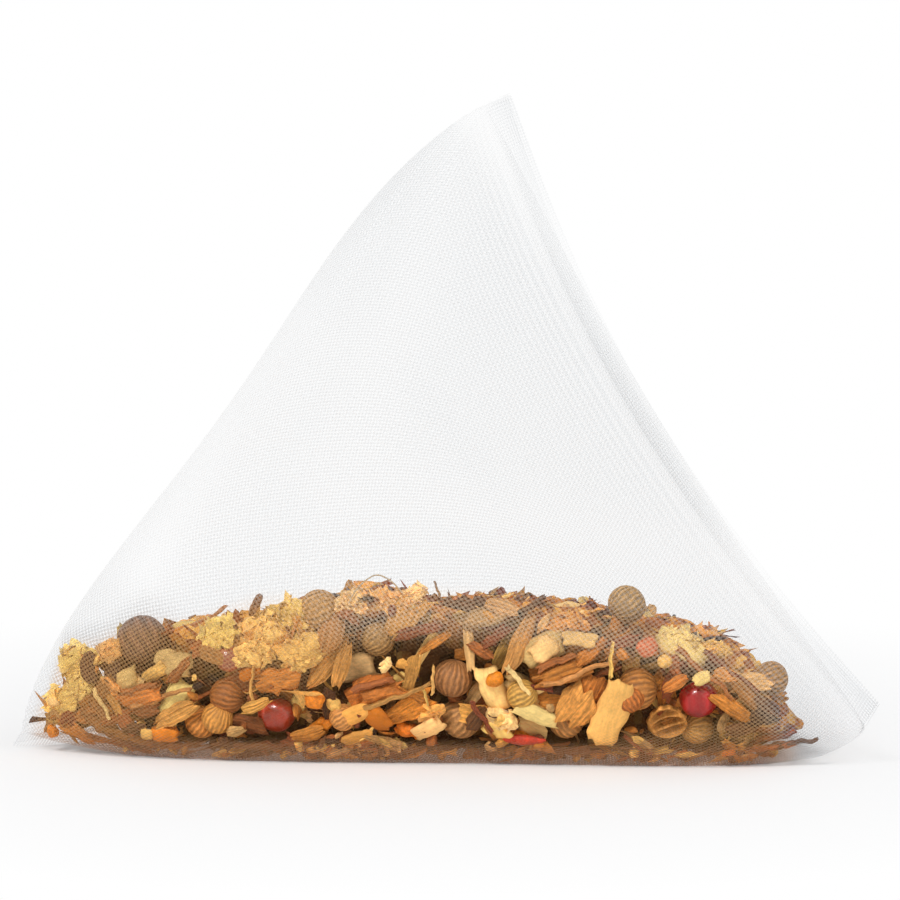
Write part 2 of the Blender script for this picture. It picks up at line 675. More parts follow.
def rod_form(dice, length, diameter, bow=0.0, steps=9, columns=8, groove=0.12, taper=0.15):
    """Stalk or twig: grooved along its length, bowed and broken at both ends."""
    along = np.linspace(-1, 1, steps)
    path_y = bow * length * (1 - along**2) + 0.03 * length * wave(dice, along * 2.4)
    path_z = 0.03 * length * wave(dice, along * 2.1)
    turn = np.linspace(0, 2 * math.pi, columns, endpoint=False)
    ring = 1 + groove * np.array([dice.uniform(-1, 1) for _ in range(columns)])
    radius = diameter / 2 * (1 - taper * along[:, None]) * ring[None, :]
    radius = radius * (1 + 0.08 * wave(dice, along * 6)[:, None])
    x = np.repeat((along * length / 2)[:, None], columns, axis=1)
    x[0] += 0.5 * diameter * np.array([dice.uniform(-1, 1) for _ in range(columns)])
    x[-1] += 0.5 * diameter * np.array([dice.uniform(-1, 1) for _ in range(columns)])
    y = path_y[:, None] + radius * np.cos(turn)
    z = path_z[:, None] + radius * np.sin(turn)
    verts = capped((-length / 2, path_y[0], path_z[0]), (x, y, z), (length / 2, path_y[-1], path_z[-1]))
    start = grain_start(dice)
    around = diameter * np.concatenate(([0], np.tile(turn, steps), [0])) / 2
    grain = np.stack((verts[:, 0], around), -1) / MM + start
    shade = np.concatenate(([0.7], np.tile(ring**2, steps), [0.7]))
    return Form(verts, ball_faces(steps, columns), grain, shade)


def seed_form(dice, radius, ribs=19, rows=26, columns=114, squash=0.95, depth=0.03):
    """Round seed along X: fine wavy pale ribs from end to end, dark furrows between them, and a small tip."""
    lift, turn = ball_angles(rows, columns)
    sway = 0.05 * np.sin(lift * 2.6 + 2 * np.sin(turn) + dice.uniform(0, 6))
    sway = sway + 0.024 * np.sin(lift * 9 + turn * 3 + dice.uniform(0, 6))
    wavy = 0.5 + 0.5 * np.cos(ribs * (turn + sway))
    rib = wavy**3.5
    furrow = (1 - wavy) ** 3
    strength = 0.75 + 0.25 * np.sin(turn * 5 + lift * 3 + dice.uniform(0, 6))
    fade = np.cos(lift) ** 0.5
    reach = radius * (1 + depth * (1.4 * rib - 0.6) * fade)
    reach = reach * (1 + 0.03 * np.sin(turn + dice.uniform(0, 6)) * np.cos(lift))
    x = reach * np.sin(lift) * squash
    y = reach * np.cos(lift) * np.cos(turn)
    z = reach * np.cos(lift) * np.sin(turn)
    verts = capped((-radius * squash, 0, 0), (x, y, z), (radius * squash * 1.06, 0, 0))
    shade = 0.9 + (0.5 * rib - 0.42 * furrow) * fade * strength
    shade = np.concatenate(([0.55], shade.reshape(-1), [0.55]))
    start = grain_start(dice)
    grain = np.concatenate(([[0, 0]], np.stack((x, radius * turn), -1).reshape(-1, 2), [[0, 0]])) / MM + start
    return Form(verts, ball_faces(rows, columns), grain, shade)


def husk_form(radius):
    """Split husk, open along +Z: a ribbed outside, a thick rim, and two curved partitions in its hollow."""
    rows, columns = 40, 56
    turn = np.linspace(0, 2 * math.pi, columns, endpoint=False)
    rim_row = 18
    flat, high = [], []
    for row in range(rows):
        if row < rim_row:
            lift = row / rim_row * math.pi / 2
            reach = radius * math.sin(lift)
            rib = 1 + 0.05 * np.cos(12 * turn + 0.2 * math.sin(6 * lift)) * math.sin(lift)
            flat.append(reach * rib)
            high.append(np.full(columns, -radius * 0.8 * math.cos(lift)))
        else:
            inner = 1 - (row - rim_row) / (rows - 1 - rim_row)
            x, y = inner * np.cos(turn), inner * np.sin(turn)
            wall = np.exp(-(((np.abs(x) - 0.34 * np.cos(1.1 * y)) / 0.11) ** 2)) * (1 - inner**4)
            seam = np.exp(-((x / 0.07) ** 2)) * (1 - inner**3)
            bowl = -0.55 * (1 - inner**2) + 0.42 * wall + 0.3 * seam
            rim = 0.08 * math.exp(-(((inner - 0.86) / 0.1) ** 2))
            flat.append(np.full(columns, radius * 0.97 * inner))
            high.append(radius * (bowl + rim))
    flat, high = np.array(flat)[1:], np.array(high)[1:]
    flat[-1] = flat[-2] * 0.35
    x, y = flat * np.cos(turn), flat * np.sin(turn)
    verts = capped((0, 0, -radius * 0.8), (x, y, high), (0, 0, high[-1].mean()))
    shade = np.clip(0.55 + 1.3 * (high / radius + 0.35), 0.25, 1.5)
    shade[: rim_row - 1] = 0.8 + 0.3 * np.cos(12 * turn)[None, :]
    shade = np.concatenate(([0.7], shade.reshape(-1), [0.8]))
    return Form(verts, ball_faces(rows - 1, columns), verts[:, :2] / MM, shade)


def berry_form(dice, length, width, thickness):
    """Dried berry along X: smooth skin with a few wrinkles and a pinched end."""
    form = ball_form(dice, length, width, thickness, rows=26, columns=40, lumps=0.035)
    x = form.verts[:, 0] / (length / 2)
    pinch = 1 - 0.35 * np.clip(x - 0.45, 0, 1) ** 2 * 2
    turn = np.arctan2(form.verts[:, 2], form.verts[:, 1])
    wrinkle = 1 + 0.018 * np.sin(7 * turn + 3 * x) * np.clip(1.2 - np.abs(x), 0, 1)
    form.verts[:, 1:] *= (pinch * wrinkle)[:, None]
    form.shade = 0.9 + 0.25 * wave_over(dice, form.verts[:, 0], form.verts[:, 1], width)
    return form


def joined(forms):
    """Several forms as one."""
    verts, faces, grain, shade = [], [], [], []
    count = 0
    for form in forms:
        verts.append(form.verts)
        faces += [tuple(k + count for k in face) for face in form.faces]
        grain.append(form.grain)
        shade.append(form.shade)
        count += len(form.verts)
    return Form(np.concatenate(verts), faces, np.concatenate(grain), np.concatenate(shade))


def tuft_form(dice, length, width, flakes=13, rows=10, columns=16):
    """Crumpled petals: a crinkled pad under many short curled flakes."""
    pad = length * 0.86, width * 0.86, width * 0.5
    forms = [ball_form(dice, *pad, rows, columns, lumps=0.16, crinkle=0.03)]
    for _ in range(flakes):
        flake = slab_form(
            dice, length * dice.uniform(0.2, 0.46), width * dice.uniform(0.16, 0.38), 0.05 * MM, cells=(5, 4),
            ragged=0.3, taper=0.25, lumps=1.2, bend=dice.uniform(-0.3, 0.15), cup=dice.uniform(-0.5, 0.2),
            twist=dice.uniform(-0.5, 0.5),
        )
        way, far = dice.uniform(0, 2 * math.pi), math.sqrt(dice.random())
        out = Vector((math.cos(way) * far * 0.6, math.sin(way) * far * 0.6, math.sqrt(1 - 0.75 * far**2)))
        turn = Vector((0, 0, 1)).rotation_difference(out).to_matrix()
        turn = turn @ Matrix.Rotation(dice.uniform(0, 6.3), 3, "Z")
        turn = turn @ Matrix.Rotation(dice.gauss(0, 0.3), 3, "Y")
        spot = math.cos(way) * far * length, math.sin(way) * far * width, out.z * width * 0.55
        spot = np.array(spot) * 0.44
        flake.verts = flake.verts @ np.array(turn).T + spot
        flake.shade = flake.shade * dice.uniform(0.85, 1.25)
        forms.append(flake)
    return joined(forms)


def bud_form(length, width):
    """Dried calyx along X: a stalk that flares to four blunt lobes."""
    rows, columns = 12, 20
    along = np.linspace(-1, 1, rows + 2)[1:-1]
    turn = np.linspace(0, 2 * math.pi, columns, endpoint=False)
    along, turn = np.meshgrid(along, turn, indexing="ij")
    way = (along + 1) / 2
    reach = width / 2 * (0.42 + 0.58 * way**2.2) * (1 + 0.28 * way**2 * np.cos(4 * turn))
    reach = reach * np.clip((1 - np.abs(along)) * 9, 0, 1) ** 0.5
    x = along * length / 2
    rings = x, reach * np.cos(turn), reach * np.sin(turn)
    verts = capped((-length / 2, 0, 0), rings, (length / 2 * 0.8, 0, 0))
    shade = np.concatenate(([0.8], (0.8 + 0.3 * np.cos(4 * turn)).reshape(-1), [0.5]))
    return Form(verts, ball_faces(rows, columns), verts[:, :2] / MM, shade)


class Batch:
    """Collects fragments into one piece with its tint and grain layers."""

    def __init__(self, name, finish, slot):
        self.name = name
        self.finish = finish
        self.slot = slot
        self.verts, self.faces, self.grain, self.tints = [], [], [], []
        self.count = 0

    def add(self, form, verts, tint):
        self.verts.append(verts)
        self.faces += [tuple(k + self.count for k in face) for face in form.faces]
        self.grain.append(form.grain)
        self.tints.append(np.clip(form.shade, 0.15, 1.7)[:, None] * np.asarray(tint)[None, :] * WARMTH)
        self.count += len(verts)

    def build(self):
        made = mesh_object(self.name, np.concatenate(self.verts), self.faces, self.finish)
        set_uv(made, "Grain", np.concatenate(self.grain))
        set_point_colour(made, "Tint", np.concatenate(self.tints))
        made.data.set_sharp_from_angle(angle=math.radians(50))
        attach(made, "root")
        return made


def nodes_of(name, roughness, specular):
    """A new material with its node tree and its shader."""
    made = bpy.data.materials.new(name)
    made.use_nodes = True
    shader = made.node_tree.nodes["Principled BSDF"]
    shader.inputs["Roughness"].default_value = roughness
    shader.inputs["Specular IOR Level"].default_value = specular
    return made, made.node_tree, shader


def feed(tree, node, **sources):
    """Links outputs to a node's inputs, given by name with _ for a blank, or as input_0 and so on."""
    for key, source in sources.items():
        place = int(key[6:]) if key.startswith("input_") else key.replace("_", " ")
        tree.links.new(source, node.inputs[place])


def add_node(tree, kind, **values):
    """A node with its values set, and linked where a value is another node's output."""
    node = tree.nodes.new(kind)
    for key, value in values.items():
        if isinstance(value, bpy.types.NodeSocket):
            feed(tree, node, **{key: value})
        elif key in node.inputs:
            node.inputs[key].default_value = value
        else:
            setattr(node, key, value)
    return node


def attribute(tree, name, output="Color"):
    return add_node(tree, "ShaderNodeAttribute", attribute_name=name).outputs[output]


def uv_layer(tree, name):
    return add_node(tree, "ShaderNodeUVMap", uv_map=name).outputs["UV"]


def maths(tree, operation, *sources):
    """Result of a sum on one or two outputs."""
    inputs = {f"input_{k}": source for k, source in enumerate(sources)}
    return add_node(tree, "ShaderNodeMath", operation=operation, **inputs).outputs[0]


def remapped(tree, source, low, high, to_low, to_high):
    node = add_node(tree, "ShaderNodeMapRange", Value=source)
    for key, value in (("From Min", low), ("From Max", high), ("To Min", to_low), ("To Max", to_high)):
        node.inputs[key].default_value = value
    return node.outputs[0]


def add_relief(tree, shader, height, distance, strength=1.0):
    bump = add_node(tree, "ShaderNodeBump", Height=height, Distance=distance, Strength=strength)
    feed(tree, shader, Normal=bump.outputs["Normal"])


def film_material():
    """Clear threads with their own cover and colour, and a relief that goes over and under at crossings."""
    made, tree, shader = nodes_of("mesh_film", 0.30, 0.5)
    feed(tree, shader, Base_Color=attribute(tree, "Thread"), Alpha=attribute(tree, "Veil", "Fac"))
    split = add_node(tree, "ShaderNodeSeparateXYZ", input_0=uv_layer(tree, "Weave"))
    total = maths(tree, "ADD", split.outputs["X"], split.outputs["Y"])
    turn = add_node(tree, "ShaderNodeMath", operation="MULTIPLY", input_0=total)
    turn.inputs[1].default_value = math.pi
    add_relief(tree, shader, maths(tree, "SINE", turn.outputs[0]), 0.03 * MM, 0.6)
    return made


def plant_material(name, roughness, along, across, contrast, relief, sheen=0.0, coat=0.0, flecked=0.25):
    """Dry plant matter: the fragment's tint, streaked along its grain and flecked, with the same relief."""
    made, tree, shader = nodes_of(name, roughness, 0.35)
    shader.inputs["Sheen Weight"].default_value = sheen
    shader.inputs["Coat Weight"].default_value = coat
    shader.inputs["Coat Roughness"].default_value = 0.12
    grain = uv_layer(tree, "Grain")
    stretch = add_node(tree, "ShaderNodeMapping", Vector=grain, Scale=(along, across, 1)).outputs["Vector"]
    fibres = add_node(
        tree, "ShaderNodeTexNoise", Vector=stretch, Scale=1.6, Detail=6.0, Roughness=0.65, Distortion=0.3
    )
    flecks = add_node(tree, "ShaderNodeTexNoise", Vector=grain, Scale=3.4, Detail=3.0, Roughness=0.6)
    streak = remapped(tree, fibres.outputs["Fac"], 0.32, 0.68, 1 - contrast, 1 + contrast)
    fleck = remapped(tree, flecks.outputs["Fac"], 0.35, 0.62, 1 - flecked, 1 + 0.4 * flecked)
    both = maths(tree, "MULTIPLY", streak, fleck)
    shaded = add_node(
        tree, "ShaderNodeVectorMath", operation="SCALE", input_0=attribute(tree, "Tint"), Scale=both
    )
    feed(tree, shader, Base_Color=shaded.outputs[0])
    add_relief(tree, shader, both, relief * MM, 0.8)
    return made


def bed_material():
    """Fine crumbs of five colours, dark where the bed lies deep between the pieces."""
    made, tree, shader = nodes_of("herb_dust", 0.9, 0.2)
    spot = add_node(tree, "ShaderNodeTexCoord").outputs["Object"]
    grains = add_node(tree, "ShaderNodeTexVoronoi", Vector=spot, Scale=1500.0)
    split = add_node(tree, "ShaderNodeSeparateColor", input_0=grains.outputs["Color"])
    ramp = add_node(tree, "ShaderNodeValToRGB", input_0=split.outputs[0])
    ramp.color_ramp.elements[0].color = (*RUSSET, 1)
    ramp.color_ramp.elements[1].color = (*(np.array(STRAW) * WARMTH), 1)
    for place, colour in ((0.25, RUST), (0.5, np.array(AMBER) * WARMTH), (0.75, np.array(GOLD) * WARMTH)):
        ramp.color_ramp.elements.new(place).color = (*colour, 1)
    shaded = add_node(
        tree, "ShaderNodeVectorMath", operation="MULTIPLY", input_0=ramp.outputs[0],
        input_1=attribute(tree, "Light"),
    )
    feed(tree, shader, Base_Color=shaded.outputs[0])
    add_relief(tree, shader, grains.outputs["Distance"], 0.25 * MM)
    return made


def seen_directly(tree):
    """1 for rays that show the background: camera, glossy and transmission rays."""
    path = add_node(tree, "ShaderNodeLightPath").outputs
    first = maths(tree, "MAXIMUM", path["Is Camera Ray"], path["Is Glossy Ray"])
    return maths(tree, "MAXIMUM", first, path["Is Transmission Ray"])


def mixed(tree, share, plain, white, output):
    """Shows one shader, or by the share the other, through the tree's output node."""
    mix = add_node(tree, "ShaderNodeMixShader", input_0=share, input_1=plain, input_2=white)
    feed(tree, tree.nodes[output], Surface=mix.outputs[0])


def make_stage():
    """White background and floor, the soft world light and two suns."""
    world = bpy.data.worlds.new("world")
    bpy.context.scene.world = world
    world.use_nodes = True
    tree = world.node_tree
    plain = tree.nodes["Background"]
    plain.inputs["Color"].default_value = WORLD_COLOUR
    plain.inputs["Strength"].default_value = WORLD_STRENGTH
    white = add_node(tree, "ShaderNodeBackground", Color=(1, 1, 1, 1), Strength=1.0)
    mixed(tree, seen_directly(tree), plain.outputs[0], white.outputs[0], "World Output")

    bpy.ops.mesh.primitive_plane_add(size=8, location=(0, 0, -0.02 * MM))
    floor = bpy.context.object
    floor.name = "floor"
    finish, tree, shader = nodes_of("floor", 0.8, 0.1)
    shader.inputs["Base Color"].default_value = FLOOR_COLOUR
    spot = add_node(tree, "ShaderNodeTexCoord").outputs["Object"]
    far = add_node(tree, "ShaderNodeVectorMath", operation="LENGTH", input_0=spot).outputs["Value"]
    fade = remapped(tree, far, *FLOOR_FADE)
    share = maths(tree, "MULTIPLY", fade, seen_directly(tree))
    white = add_node(tree, "ShaderNodeEmission")
    mixed(tree, share, shader.outputs[0], white.outputs[0], "Material Output")
    floor.data.materials.append(finish)

    for name, way, strength, angle in SUNS:
        data = bpy.data.lights.new(name, "SUN")
        data.energy = strength
        data.angle = math.radians(angle)
        lamp = bpy.data.objects.new(name, data)
        bpy.context.scene.collection.objects.link(lamp)
        lamp.rotation_euler = Vector(way).to_track_quat("-Z", "Y").to_euler()


# Pole's angle against the level and colour of each coriander seed, in the order of their nodes
SEEDS = [
    (78, (166, 122, 80)),
    (52, (182, 142, 96)),
    (3, (168, 122, 72)),
    (35, (178, 148, 108)),
    (20, (166, 138, 98)),
    (-38, (214, 170, 108)),
    (-6, (156, 106, 58)),
    (60, (206, 152, 84)),
    (-55, (188, 144, 96)),
    (40, (160, 130, 98)),
    (15, (190, 152, 100)),
    (30, (172, 130, 84)),
    (70, (182, 140, 92)),
]
SEED_WARMTH = np.array((1.12, 1.0, 0.82))
# How far a seed's ribs reach past its radius
RIB_REACH = 1.02
BERRY_COLOURS = [SCARLET, linear(196, 62, 34), linear(190, 112, 84), linear(168, 30, 28)]

# What replaces each kind of solid: name, slot and colour
DRESS_OF = {
    "coriander_seed": ("ribbed_seed", "seed_shell", NUT),
    "dark_seed": ("brown_seed", "dark_seed", linear(118, 92, 76)),
    "split_husk": ("open_husk", "seed_shell", linear(216, 152, 78)),
    "red_berry": ("wrinkled_berry", "red_berry", SCARLET),
    "root_flake": ("root_piece", "pale_root", CREAM),
    "beige_chip": ("beige_piece", "beige_chip", linear(216, 180, 128)),
    "bark_chip": ("bark_piece", "bark", linear(190, 118, 50)),
    "zest_bit": ("peel_piece", "zest", ORANGE),
    "leaf_blade": ("dry_blade", "dry_leaf", linear(190, 146, 78)),
    "leaf_strip": ("pale_strip", "pale_root", linear(228, 192, 126)),
    "petal": ("petal_tuft", "petal", LEMON),
    "stem": ("thin_stalk", "stem", linear(214, 170, 92)),
    "stick": ("twig", "bark", linear(148, 78, 40)),
    "calyx": ("bud", "bark", linear(128, 58, 34)),
}
ROUND_KINDS = ("coriander_seed", "dark_seed", "split_husk", "red_berry")
# Room that small pieces leave before a round one: a share of its radius, and a margin
ROUND_SPACE = 1.25
ROUND_MARGIN = 0.4 * MM
# Shares of a round piece's radius beside and behind which a loose piece at the wall would hide its middle
ROUND_MIDDLE = 0.8
ROUND_DEPTH = 3
# Shares of a piece's radius within which, beside it or before it, a small piece would hide it
HIDING_BESIDE = 0.9
HIDING_BEFORE = -0.2
# First numbers of the random draws
LOOSE_SEED = 1000
SMALL_SEED = 200
BED_SEED = 3
SIDE_SEED, FOOT_SEED, TOP_SEED = 50, 70, 90


def node_frame(name, wall):
    """Middle, axes (longest, next, outward) and sizes of a CAD node."""
    spots = np.array([v.co for v in bpy.data.objects[name].data.vertices])
    middle = spots.mean(axis=0)
    axes = np.linalg.svd(spots - middle, full_matrices=False)[2]
    flat = (spots - middle) @ axes.T
    centre = middle + (flat.max(0) + flat.min(0)) / 2 @ axes
    outward = np.array(wall.depth(Vector(centre))[1])
    if axes[2] @ outward < 0:
        axes[2] = -axes[2]
    if axes[0][0] < 0:
        axes[0] = -axes[0]
    axes[1] = np.cross(axes[2], axes[0])
    return centre, axes, flat.max(0) - flat.min(0)


def node_form(kind, dice, size):
    """Detailed form of one of the source's pieces, of the same size."""
    length, width, thickness = size
    if kind == "dark_seed":
        return seed_form(dice, length / 2, ribs=13, depth=0.015, squash=0.97)
    if kind == "split_husk":
        return husk_form(length / 2)
    if kind == "red_berry":
        return berry_form(dice, length, width, thickness)
    if kind == "root_flake":
        return slab_form(
            dice, length, width, thickness, cells=(18, 14), ragged=0.12, taper=0.2, lumps=0.09, bend=-0.03,
            cup=-0.06, bluntness=11,
        )
    if kind == "beige_chip":
        return slab_form(
            dice, length, width, thickness, cells=(16, 12), ragged=0.12, taper=0.2, lumps=0.1, cup=-0.1,
            bluntness=11,
        )
    if kind == "bark_chip":
        return slab_form(
            dice, length, width, thickness * 0.7, cells=(16, 12), ragged=0.18, taper=0.25, lumps=0.3,
            bend=-0.05, cup=-0.14, twist=0.1, ribs=5, rib_depth=0.035 * MM,
        )
    if kind == "zest_bit":
        return slab_form(
            dice, length, width, thickness, cells=(10, 8), ragged=0.2, taper=0.3, lumps=0.3, bluntness=4
        )
    if kind == "leaf_blade":
        return slab_form(
            dice, length, width, 0.12 * MM, cells=(20, 12), ragged=0.08, taper=0.75, lumps=0.5, bend=-0.04,
            cup=-0.16, twist=0.15, ribs=4, rib_depth=0.05 * MM,
        )
    if kind == "leaf_strip":
        return slab_form(
            dice, length, width, thickness * 0.5, cells=(20, 8), ragged=0.08, taper=0.3, lumps=0.2,
            bend=-0.05, cup=-0.2, twist=0.2, ribs=2, rib_depth=0.03 * MM,
        )
    if kind == "petal":
        return tuft_form(dice, length * 1.1, width * 1.1, flakes=34, rows=22, columns=36)
    if kind == "stem":
        return rod_form(dice, length, min(width, thickness) * 0.8, bow=0.06, steps=14)
    if kind == "stick":
        return rod_form(dice, length, thickness, bow=0.01, steps=16, columns=12, groove=0.2, taper=0.05)
    return bud_form(length, max(width, thickness))


def dress_nodes(wall, finishes):
    """Each CAD piece in the heap gets its detailed form, in its own place, size and direction."""
    kept = []
    rounds = []
    for name in sorted(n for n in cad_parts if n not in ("mesh_bag", "herb_fill")):
        kind, number = name[:-3], int(name[-2:])
        dice = random.Random(name)
        new_name, slot, tint = DRESS_OF[kind]
        centre, axes, size = node_frame(name, wall)
        if kind == "coriander_seed":
            pole, colour = SEEDS[number - 1]
            low, high = (np.array(c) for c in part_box(name))
            centre, size = (low + high) / 2, np.full(3, (high - low).mean())
            axes = upright_frame(wall.depth(Vector(centre))[1], pole)
            form = seed_form(dice, size[0] / 2 / RIB_REACH)
            tint = np.array(linear(*colour)) * SEED_WARMTH
        else:
            form = node_form(kind, dice, size)
        if kind == "red_berry":
            tint = BERRY_COLOURS[number - 1]
        tint = tuple(c * dice.uniform(*NODE_LIGHT) for c in tint)
        batch = Batch(f"{new_name}_{number:02d}", finishes[slot], slot)
        batch.add(form, wall.keep_inside(form.placed(axes, centre), PIECE_ROOM), tint)
        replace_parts(batch.build(), name)
        radius = max(size[0], size[1]) / 2
        if kind in ROUND_KINDS:
            rounds.append((centre, radius))
            radius = ROUND_SPACE * radius + ROUND_MARGIN
        kept.append((centre, radius))
    return kept, rounds


def herb_bed(finish):
    """The fine bed under the larger pieces: the solid's own form, swollen a little and crumbly all over."""
    data = bpy.data.objects["herb_fill"].data.copy()
    bed = bpy.data.objects.new("crumb_bed", data)
    bpy.context.scene.collection.objects.link(bed)
    data.materials.clear()
    data.materials.append(finish)
    remesh = bed.modifiers.new("remesh", "REMESH")
    remesh.mode = "VOXEL"
    remesh.voxel_size = BED_VOXEL
    evaluated = bed.evaluated_get(bpy.context.evaluated_depsgraph_get())
    bed.data = bpy.data.meshes.new_from_object(evaluated)
    bed.modifiers.clear()
    dice = random.Random(BED_SEED)
    spots = np.array([v.co for v in bed.data.vertices])
    ways = np.array([v.normal for v in bed.data.vertices])
    lump = np.zeros(len(spots))
    for k in range(14):
        lump += np.sin(spots @ random_way(dice) / MM * (1.2 + 0.5 * k) + dice.uniform(0, 7)) / (1 + 0.4 * k)
    sideways = 1 - np.clip(ways[:, 2], 0, 1)
    spots = spots + ways * (BED_SHIFT + BED_SIDE_SHIFT * sideways + BED_LUMP_SHIFT * lump)[:, None] * MM
    bed.data.vertices.foreach_set("co", spots.astype(np.float32).ravel())
    bed.data.update()
    bed.data.shade_smooth()
    under_top = (heap_height(spots[:, 0], spots[:, 1]) - spots[:, 2]) / MM
    light = BED_DARK + (1 - BED_DARK) * (1 - smooth_step(under_top, *BED_FADE))
    set_point_colour(bed, "Light", np.repeat(light[:, None], 3, axis=1))
    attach(bed, "root")
    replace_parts(bed, "herb_fill")
    return bed


